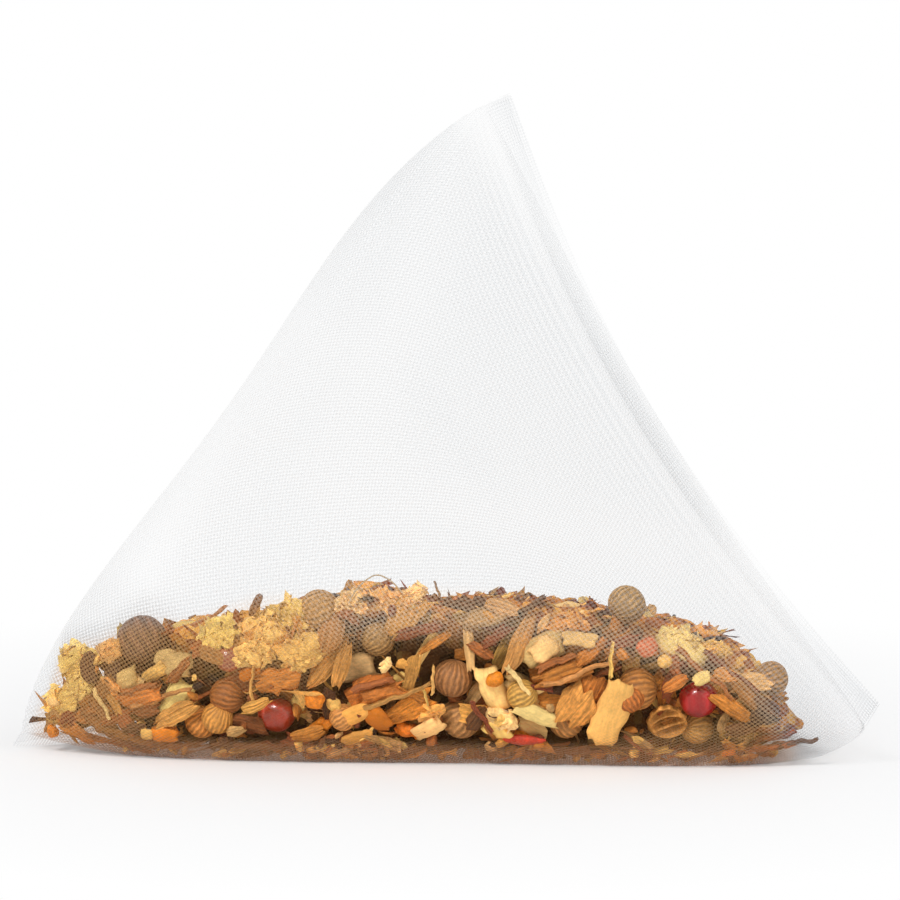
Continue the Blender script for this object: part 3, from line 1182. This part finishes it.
# Loose pieces laid against the front wall where the photo shows them: kind, pixel, length and width in
# pixels, spin in degrees, colour. Each row's number starts its own random draws, so new rows go to the end.
LOOSE_PIECES = [
    ("tuft", 60, 660, 36, 44, 70, LEMON),
    ("tuft", 50, 707, 38, 34, 20, LEMON),
    ("tuft", 70, 684, 34, 30, 60, LEMON),
    ("leaf", 84, 668, 34, 22, 100, UMBER),
    ("leaf", 86, 712, 60, 34, -52, linear(176, 118, 52)),
    ("rod", 99, 705, 34, 4, -56, CREAM),
    ("leaf", 107, 687, 24, 12, -40, GOLD),
    ("tuft", 103, 650, 26, 22, 30, STRAW),
    ("rod", 136, 690, 42, 7, 18, RUST),
    ("rod", 108, 686, 22, 8, -30, GOLD),
    ("bark", 136, 700, 46, 20, 20, AMBER),
    ("rod", 158, 699, 70, 5, 22, linear(190, 136, 78)),
    ("bark", 176, 672, 32, 11, 50, RUST),
    ("leaf", 172, 718, 54, 18, 34, GOLD),
    ("chunk", 163, 740, 26, 16, 5, ORANGE),
    ("chunk", 145, 738, 13, 13, 0, STRAW),
    ("pebble", 49, 738, 14, 15, 0, ORANGE),
    ("leaf", 131, 732, 26, 12, 20, UMBER),
    ("leaf", 72, 736, 44, 14, -28, linear(190, 128, 60)),
    ("leaf", 98, 726, 50, 18, -42, linear(150, 100, 54)),
    ("bark", 108, 738, 54, 14, -20, UMBER),
    ("bark", 128, 745, 56, 12, -8, linear(150, 98, 54)),
    ("leaf", 112, 722, 40, 12, 30, RUST),
    ("bark", 84, 746, 52, 9, -12, AMBER),
    ("bark", 118, 752, 60, 9, -6, linear(150, 92, 48)),
    ("bark", 170, 756, 70, 9, -2, linear(140, 88, 50)),
    ("dome", 214, 728, 32, 32, 70, linear(208, 150, 78)),
    ("tuft", 257, 632, 64, 36, 8, LEMON),
    ("tuft", 216, 631, 40, 28, 25, LEMON),
    ("tuft", 288, 612, 44, 26, 5, STRAW),
    ("tuft", 300, 650, 40, 34, 30, STRAW),
    ("tuft", 250, 655, 44, 24, 15, LEMON),
    ("leaf", 254, 604, 26, 9, 62, HAZEL),
    ("bark", 276, 684, 42, 24, 10, AMBER),
    ("leaf", 254, 708, 32, 13, 25, GOLD),
    ("leaf", 234, 736, 22, 12, 30, SAND),
    ("tuft", 352, 600, 34, 22, 20, CREAM),
    ("tuft", 378, 597, 46, 18, 5, STRAW),
    ("tuft", 412, 592, 30, 14, 30, CREAM),
    ("dome", 316, 607, 42, 40, 20, linear(190, 150, 96)),
    ("leaf", 362, 640, 56, 28, 55, linear(176, 122, 64)),
    ("leaf", 330, 632, 40, 24, 65, linear(170, 126, 72)),
    ("leaf", 385, 646, 38, 9, -4, STRAW),
    ("bark", 418, 630, 44, 12, 15, RUSSET),
    ("bark", 434, 642, 32, 8, 32, AMBER),
    ("rod", 372, 687, 40, 7, 17, RUST),
    ("bark", 380, 699, 48, 20, 20, AMBER),
    ("rod", 397, 698, 72, 5, 23, linear(192, 138, 78)),
    ("rod", 432, 681, 30, 3, 88, STRAW),
    ("rod", 425, 699, 16, 3, -75, STRAW),
    ("pebble", 314, 705, 21, 18, 20, ORANGE),
    ("dome", 341, 727, 28, 26, 40, linear(204, 150, 84)),
    ("chunk", 357, 742, 32, 15, 25, GOLD),
    ("leaf", 307, 740, 36, 18, 15, AMBER),
    ("bark", 404, 719, 58, 22, 33, linear(206, 132, 52)),
    ("chunk", 428, 735, 32, 20, 35, CREAM),
    ("bud", 357, 725, 20, 15, 80, RUSSET),
    ("pebble", 494, 681, 17, 16, 0, ORANGE),
    ("rod", 482, 721, 38, 5, -58, RUSSET),
    ("dome", 521, 702, 32, 30, 30, linear(214, 164, 92)),
    ("chunk", 536, 719, 50, 18, -22, CREAM),
    ("rod", 518, 681, 34, 5, -52, CREAM),
    ("chunk", 544, 648, 28, 24, 45, CREAM),
    ("leaf", 520, 642, 62, 17, 66, linear(196, 152, 82)),
    ("leaf", 340, 667, 46, 15, 72, linear(196, 152, 82)),
    ("bark", 459, 602, 36, 12, -8, UMBER),
    ("leaf", 502, 606, 32, 15, -15, SAND),
    ("rod", 534, 602, 26, 6, 38, UMBER),
    ("rod", 437, 588, 16, 2.5, 110, HAZEL),
    ("bark", 495, 636, 36, 12, 40, RUSSET),
    ("bark", 480, 650, 26, 10, -30, RUST),
    ("tuft", 566, 620, 40, 18, -8, GOLD),
    ("chunk", 580, 638, 36, 15, -5, linear(222, 186, 130)),
    ("bark", 592, 650, 34, 14, 40, AMBER),
    ("rod", 556, 662, 38, 7, 20, RUST),
    ("bark", 562, 674, 50, 18, 18, AMBER),
    ("rod", 578, 674, 74, 5, 21, linear(190, 136, 78)),
    ("rod", 612, 658, 36, 4, 86, STRAW),
    ("pebble", 649, 644, 22, 19, 20, linear(206, 120, 76)),
    ("bark", 625, 641, 30, 12, 15, RUSSET),
    ("tuft", 684, 638, 42, 26, -15, CREAM),
    ("tuft", 720, 646, 26, 14, -20, STRAW),
    ("pebble", 666, 660, 14, 14, 20, STRAW),
    ("bark", 676, 663, 12, 22, 10, RUST),
    ("rod", 706, 673, 72, 5.5, -41, RUST),
    ("rod", 733, 671, 66, 5, -36, RUSSET),
    ("leaf", 676, 683, 26, 13, 30, AMBER),
    ("chunk", 703, 678, 18, 12, 25, CREAM),
    ("leaf", 727, 674, 26, 13, -10, GOLD),
    ("bark", 735, 711, 46, 14, -36, AMBER),
    ("leaf", 751, 697, 50, 15, -42, linear(164, 108, 54)),
    ("bark", 768, 707, 30, 16, -20, UMBER),
    ("bark", 760, 722, 34, 20, 25, DUSK),
    ("bark", 745, 733, 38, 14, 10, UMBER),
    ("dome", 630, 704, 32, 26, -65, linear(180, 112, 52)),
    ("leaf", 655, 696, 17, 9, 30, GOLD),
    ("bark", 577, 712, 40, 34, 55, GOLD),
    ("chunk", 611, 719, 72, 34, 72, linear(238, 197, 114)),
    ("pebble", 523, 746, 40, 12, 4, linear(196, 62, 44)),
    ("chunk", 666, 746, 17, 10, 15, ORANGE),
    ("chunk", 729, 757, 13, 9, 0, ORANGE),
    ("bark", 766, 753, 54, 8, 3, RUST),
    ("rod", 799, 748, 40, 5, 6, UMBER),
    ("bark", 700, 746, 60, 12, 4, RUSSET),
    ("bark", 560, 757, 70, 9, 0, UMBER),
    ("bark", 250, 752, 70, 9, -2, UMBER),
    ("bark", 420, 757, 60, 9, 0, UMBER),
    ("leaf", 475, 724, 30, 18, 60, UMBER),
    ("leaf", 208, 655, 30, 16, -20, linear(168, 122, 66)),
    ("leaf", 81, 718, 26, 18, 20, linear(168, 112, 54)),
    ("bark", 97, 733, 46, 17, -22, linear(150, 98, 52)),
    ("leaf", 121, 727, 32, 17, -50, RUST),
    ("leaf", 140, 713, 32, 18, 10, linear(140, 90, 48)),
    ("leaf", 59, 725, 24, 15, 5, linear(176, 120, 60)),
    ("leaf", 101, 688, 28, 15, 50, linear(150, 100, 52)),
]
# Pixels along the stray fibre above the heap
FIBRE_PIXELS = [
    (348, 603), (352, 594), (359, 585), (367, 578), (376, 574), (386, 577), (394, 583), (402, 592),
]


def loose_form(kind, dice, length, width):
    """Form of a loose piece at the front wall, its length along X."""
    if kind == "tuft":
        return tuft_form(dice, length * 1.15, width * 1.15, flakes=34, rows=22, columns=36)
    if kind == "leaf":
        return slab_form(
            dice, length, width, 0.13 * MM, cells=(18, 10), ragged=0.12, taper=0.55, lumps=0.6, bend=-0.05,
            cup=dice.uniform(-0.2, -0.05), twist=dice.uniform(-0.2, 0.2), ribs=4, rib_depth=0.04 * MM,
        )
    if kind == "bark":
        return slab_form(
            dice, length, width, min(0.3 * width, 0.4 * MM), cells=(16, 8), ragged=0.22, taper=0.3,
            lumps=0.4, bend=dice.uniform(-0.06, 0.0), cup=dice.uniform(-0.25, -0.05),
            twist=dice.uniform(-0.2, 0.2), ribs=3, rib_depth=0.035 * MM,
        )
    if kind == "chunk":
        return slab_form(
            dice, length, width, min(0.3 * width, 0.75 * MM), cells=(18, 14), ragged=0.12, taper=0.2,
            lumps=0.1, bend=dice.uniform(-0.05, 0.0), cup=-0.08, bluntness=11,
        )
    if kind == "pebble":
        return ball_form(dice, length, width, width * 0.8, rows=12, columns=18, lumps=0.12)
    if kind == "dome":
        return seed_form(dice, length / 2, squash=min(1.0, width / length))
    if kind == "bud":
        return bud_form(length, width)
    return rod_form(dice, length, width, bow=dice.uniform(-0.03, 0.03), steps=14, columns=10)


# Slot of each kind of loose piece
LOOSE_SLOTS = {
    "tuft": "petal", "leaf": "dry_leaf", "bark": "bark", "chunk": "pale_root", "pebble": "zest",
    "dome": "seed_shell", "bud": "bark", "rod": "stem",
}


def wall_spot(wall, camera, pixel_x, pixel_y):
    return wall.hit(camera.place, camera.ray(pixel_x, pixel_y))


def is_over(spot, outward, rounds):
    """Whether a place on the wall lies over the middle of one of the round pieces."""
    for centre, radius in rounds:
        offset = spot - Vector(centre)
        beside = offset - outward * offset.dot(outward)
        if beside.length < ROUND_MIDDLE * radius and offset.length < ROUND_DEPTH * radius:
            return True
    return False


def lay_loose_pieces(wall, camera, finishes, kept, rounds):
    batches = {k: Batch(f"loose_{k}", finishes[s], s) for k, s in LOOSE_SLOTS.items()}
    pixel = FRAME_WIDTH / FRAME_PIXELS * FRONT_SCALE
    for number, (kind, x, y, length, width, spin, tint) in enumerate(LOOSE_PIECES):
        found = wall_spot(wall, camera, x, y)
        if found is None:
            continue
        spot, outward = found
        if kind != "dome" and is_over(spot, outward, rounds):
            continue
        dice = random.Random(LOOSE_SEED + number)
        form = loose_form(kind, dice, length * pixel, width * pixel)
        axes = tilted(upright_frame(outward, spin), dice, LOOSE_LEAN)
        thick = np.abs(form.verts[:, 2]).max()
        centre = np.array(spot - outward * (thick + LOOSE_PIECE_DEPTH))
        colour = tuple(c * dice.uniform(*LOOSE_LIGHT) for c in tint)
        batches[kind].add(form, wall.keep_inside(form.placed(axes, centre), PIECE_ROOM), colour)
        kept.append((centre, max(length, width) * pixel * LOOSE_ROOM))
    for batch in batches.values():
        batch.build()


def fibre_loop(wall, camera, finish):
    """A fine stray fibre that loops above the heap, behind the film."""
    curve = bpy.data.curves.new("stray_fibre", "CURVE")
    curve.dimensions = "3D"
    curve.bevel_depth = FIBRE_RADIUS
    curve.bevel_resolution = 2
    curve.use_fill_caps = True
    line = curve.splines.new("BEZIER")
    line.bezier_points.add(len(FIBRE_PIXELS) - 1)
    for point, (x, y) in zip(line.bezier_points, FIBRE_PIXELS):
        spot, outward = wall_spot(wall, camera, x, y)
        point.co = spot - outward * FIBRE_DEPTH
        point.handle_left_type = point.handle_right_type = "AUTO"
    holder = bpy.data.objects.new("stray_fibre", curve)
    bpy.context.scene.collection.objects.link(holder)
    evaluated = holder.evaluated_get(bpy.context.evaluated_depsgraph_get())
    data = bpy.data.meshes.new_from_object(evaluated)
    bpy.data.objects.remove(holder)
    made = bpy.data.objects.new("stray_fibre", data)
    bpy.context.scene.collection.objects.link(made)
    data.materials.clear()
    data.materials.append(finish)
    count = len(data.vertices)
    set_uv(made, "Grain", np.zeros((count, 2)))
    set_point_colour(made, "Tint", np.tile(linear(196, 168, 128), (count, 1)))
    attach(made, "root")


class Scatter:
    """Loose small pieces over the heap: against the walls, over its top and on the bag's floor."""

    def __init__(self, wall, bed, kept):
        self.wall = wall
        bed_spots = [v.co for v in bed.data.vertices]
        self.bed = BVHTree.FromPolygons(bed_spots, [f.vertices[:] for f in bed.data.polygons])
        self.centres = np.array([c for c, _ in kept])
        self.radii = np.array([r for _, r in kept])
        near, far = wall.grid[:-1], wall.grid[1:]
        ahead = np.roll(near, -1, axis=1)
        self.cells = np.stack((near, ahead, np.roll(far, -1, axis=1), far), axis=2).reshape(-1, 4, 3)
        edge_a = self.cells[:, 1] - self.cells[:, 0]
        edge_b = self.cells[:, 3] - self.cells[:, 0]
        area = np.linalg.norm(np.cross(edge_a, edge_b), axis=1)
        middle = self.cells.mean(axis=1)
        below = middle[:, 2] < heap_height(middle[:, 0], middle[:, 1]) - 0.2 * MM
        below = below & (middle[:, 0] < HEAP_END)
        self.side = np.where(below & (middle[:, 2] > FLOOR_TOP), area, 0)
        self.floor = np.where((middle[:, 2] <= FLOOR_TOP) & (middle[:, 0] < HEAP_END), area, 0)
        front_foot = (middle[:, 2] < FOOT_TOP) & (middle[:, 2] > 0) & (middle[:, 1] < -4 * MM)
        near_edge = middle[:, 1] < np.interp(middle[:, 0], *self.front_edge(middle)) + FOOT_DEPTH
        low = (middle[:, 2] < FOOT_TOP) & (middle[:, 0] > FOOT_START) & (middle[:, 0] < HEAP_END)
        self.foot = np.where((front_foot | near_edge) & low, area, 0)

    @staticmethod
    def front_edge(middle):
        """The bag's frontmost line on the floor: places along X, and how far forward the film goes there."""
        places = np.linspace(-26, 26, 27) * MM
        low = middle[middle[:, 2] < 1.0 * MM]
        return places, [low[np.abs(low[:, 0] - p) < 1.5 * MM][:, 1].min() for p in places]

    def foot_seats(self, count, low, high, seed):
        """Places along the foot of the front wall, just above the floor."""
        rng = np.random.default_rng(seed + FOOT_SEED)
        for spot, deep in zip(self.cell_spots(self.foot, count, seed), rng.uniform(low, high, count)):
            outward = self.wall.depth(Vector(spot))[1]
            centre = Vector(spot) - outward * deep
            centre.z = max(centre.z, FOOT_LOWEST)
            if not self.hides_kept(centre, outward):
                yield centre, outward

    def cell_spots(self, weights, count, seed):
        rng = np.random.default_rng(seed)
        picks = rng.choice(len(self.cells), count, p=weights / weights.sum())
        a, b = rng.random((count, 1)), rng.random((count, 1))
        cells = self.cells[picks]
        lower = cells[:, 0] * (1 - a) + cells[:, 1] * a
        upper = cells[:, 3] * (1 - a) + cells[:, 2] * a
        return lower * (1 - b) + upper * b

    def hides_kept(self, centre, outward):
        """Whether a piece there would lie between the wall and one of the main pieces."""
        offsets = np.asarray(centre) - self.centres
        along = offsets @ np.asarray(outward)
        beside = np.linalg.norm(offsets - along[:, None] * np.asarray(outward), axis=1)
        return bool(np.any((beside < self.radii * HIDING_BESIDE) & (along > HIDING_BEFORE * self.radii)))

    def is_inside(self, point):
        ways = ((0, 1, 0), (0, -1, 0), (0, 0, 1))
        return all(self.wall.tree.ray_cast(point, Vector(way))[0] for way in ways)

    def side_seats(self, count, low, high, seed):
        rng = np.random.default_rng(seed + SIDE_SEED)
        for spot, deep in zip(self.cell_spots(self.side, count, seed), rng.uniform(low, high, count)):
            outward = self.wall.depth(Vector(spot))[1]
            centre = Vector(spot) - outward * deep
            if centre.z > SIDE_LOWEST and self.is_inside(centre) and not self.hides_kept(centre, outward):
                yield centre, outward

    def floor_seats(self, count, seed):
        for spot in self.cell_spots(self.floor, count, seed):
            over = Vector(spot) + Vector((0, 0, 1)) * MM
            if abs(spot[0]) < FLOOR_END and self.wall.depth(over)[0] > FLOOR_ROOM:
                yield Vector(spot) + Vector((0, 0, 0.5)) * MM, Vector((0, 0, -1))

    def top_seats(self, count, low, high, seed):
        """Places on the top of the bed, wherever it lies open."""
        rng = np.random.default_rng(seed + TOP_SEED)
        places = rng.uniform(*TOP_ALONG, count), rng.uniform(*TOP_ACROSS, count)
        for x, y, lift in zip(*places, rng.uniform(low, high, count)):
            spot = self.bed.ray_cast(Vector((x, y, OVER_TOP)) * MM, Vector((0, 0, -1)))[0]
            if spot is None:
                continue
            centre = spot + Vector((0, 0, lift))
            if self.is_inside(centre) and self.wall.depth(centre)[0] > TOP_ROOM:
                yield centre, Vector((0, 0, 1))


def scatter_kind(batch, seats, make, mix, dice, lean, wall):
    for centre, outward in seats:
        form = make(dice)
        axes = tilted(upright_frame(outward, dice.gauss(0, SMALL_PIECE_SPIN)), dice, lean)
        verts = wall.keep_inside(form.placed(axes, centre), SMALL_PIECE_ROOM)
        fluffy = centre.x < FLUFFY_END and dice.random() < 0.5
        tint = dice.choice(FLUFF_MIX if fluffy else mix)
        light = dice.uniform(*SMALL_PIECE_LIGHT)
        batch.add(form, verts, tuple(c * light for c in tint))


def bark_shard(dice):
    length = dice.uniform(1.3, 3.4) * MM
    return slab_form(
        dice, length, length * dice.uniform(0.24, 0.58), dice.uniform(0.12, 0.3) * MM, cells=(8, 5),
        ragged=0.18, taper=dice.uniform(0.0, 0.45), lumps=0.35, bend=dice.uniform(-0.1, 0.08),
        cup=dice.uniform(-0.25, 0.1), twist=dice.uniform(-0.25, 0.25), bluntness=9,
    )


def leaf_shard(dice):
    length = dice.uniform(1.5, 3.6) * MM
    return slab_form(
        dice, length, length * dice.uniform(0.2, 0.55), 0.08 * MM, cells=(7, 4), ragged=0.2,
        taper=dice.uniform(0.3, 0.8), lumps=0.8, bend=dice.uniform(-0.15, 0.1), cup=dice.uniform(-0.3, 0.2),
        twist=dice.uniform(-0.5, 0.5), ribs=1, rib_depth=0.03 * MM,
    )


def root_shard(dice):
    length = dice.uniform(1.0, 2.3) * MM
    return slab_form(
        dice, length, length * dice.uniform(0.4, 0.8), length * dice.uniform(0.15, 0.3), cells=(8, 7),
        ragged=0.13, taper=0.25, lumps=0.18, cup=dice.uniform(-0.15, 0.0), bluntness=6,
    )


def thin_shred(dice):
    length = dice.uniform(1.4, 4.2) * MM
    return slab_form(
        dice, length, dice.uniform(0.14, 0.34) * MM, 0.1 * MM, cells=(10, 2), ragged=0.2, taper=0.3,
        lumps=0.3, bend=dice.uniform(-0.12, 0.12), twist=dice.uniform(-0.8, 0.8),
    )


def crumb(dice):
    size = dice.uniform(0.35, 1.1) * MM
    width, thickness = size * dice.uniform(0.5, 0.9), size * dice.uniform(0.35, 0.8)
    return ball_form(dice, size, width, thickness, rows=4, columns=7, lumps=0.3)


def small_tuft(dice):
    size = dice.uniform(1.2, 2.6) * MM
    return tuft_form(dice, size, size * dice.uniform(0.5, 0.9), flakes=7)


# Small pieces: name, maker, slot, colours, counts (at the walls in two depths, over the top, on the floor and
# along the foot of the front wall), lean
SMALL_PIECES = [
    ("bark_shards", bark_shard, "bark", BARK_MIX, (360, 330, 430, 90, 150), 38),
    ("leaf_shards", leaf_shard, "dry_leaf", LEAF_MIX, (140, 150, 270, 60, 60), 38),
    ("root_shards", root_shard, "pale_root", CHUNK_MIX, (80, 70, 110, 40, 26), 30),
    ("thin_shreds", thin_shred, "stem", SHRED_MIX, (130, 130, 260, 40, 90), 30),
    ("herb_crumbs", crumb, "herb_dust", CRUMB_MIX, (520, 420, 900, 260, 620), 60),
    ("petal_shreds", small_tuft, "petal", FLUFF_MIX, (14, 14, 40, 6, 0), 40),
]


def scatter_all(wall, bed, kept, finishes):
    scatter = Scatter(wall, bed, kept)
    for number, (name, make, slot, mix, counts, lean) in enumerate(SMALL_PIECES):
        dice = random.Random(SMALL_SEED + number)
        batch = Batch(name, finishes["loose_dust" if slot == "herb_dust" else slot], slot)
        seed = 10 * number
        near, deep, top, floor, foot = counts
        for seats in (
            scatter.side_seats(near, *NEAR_WALL, seed + 1),
            scatter.side_seats(deep, *BEHIND_THEM, seed + 2),
            scatter.top_seats(top, *ON_TOP, seed + 3),
            scatter.floor_seats(floor, seed + 4),
            scatter.foot_seats(foot, *AT_FOOT, seed + 5),
        ):
            scatter_kind(batch, seats, make, mix, dice, lean, wall)
        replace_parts(batch.build(), "herb_fill")


# Plant materials: roughness, scale of the grain along and across, contrast, relief in millimetres, sheen,
# coat and strength of the flecks
PLANTS = {
    "seed_shell": (0.62, 1.0, 2.4, 0.25, 0.03),
    "dark_seed": (0.6, 1.0, 2.4, 0.3, 0.03),
    "red_berry": (0.3, 0.7, 0.7, 0.3, 0.02, 0.0, 0.45),
    "pale_root": (0.8, 0.7, 2.6, 0.16, 0.05, 0.0, 0.0, 0.08),
    "beige_chip": (0.8, 0.8, 2.6, 0.26, 0.05, 0.0, 0.0, 0.12),
    "bark": (0.75, 0.5, 3.6, 0.5, 0.07),
    "dry_leaf": (0.7, 0.3, 4.5, 0.45, 0.05),
    "stem": (0.65, 0.4, 4.0, 0.35, 0.04),
    "zest": (0.55, 1.6, 1.6, 0.3, 0.05),
    "petal": (0.8, 0.6, 5.0, 0.25, 0.03, 0.3),
    "loose_dust": (0.85, 1.4, 1.8, 0.4, 0.06),
}


def main():
    bpy.context.scene.view_settings.view_transform = "Standard"
    camera = Camera()
    camera.add()
    make_stage()
    bag = Bag()
    wall = Wall(bag)
    finishes = {name: plant_material(name, *settings) for name, settings in PLANTS.items()}
    weave = thread_sheet(bag, film_material())
    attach(weave, "root")
    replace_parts(weave, "mesh_bag")
    bed = herb_bed(bed_material())
    kept, rounds = dress_nodes(wall, finishes)
    lay_loose_pieces(wall, camera, finishes, kept, rounds)
    fibre_loop(wall, camera, finishes["stem"])
    scatter_all(wall, bed, kept, finishes)


main()
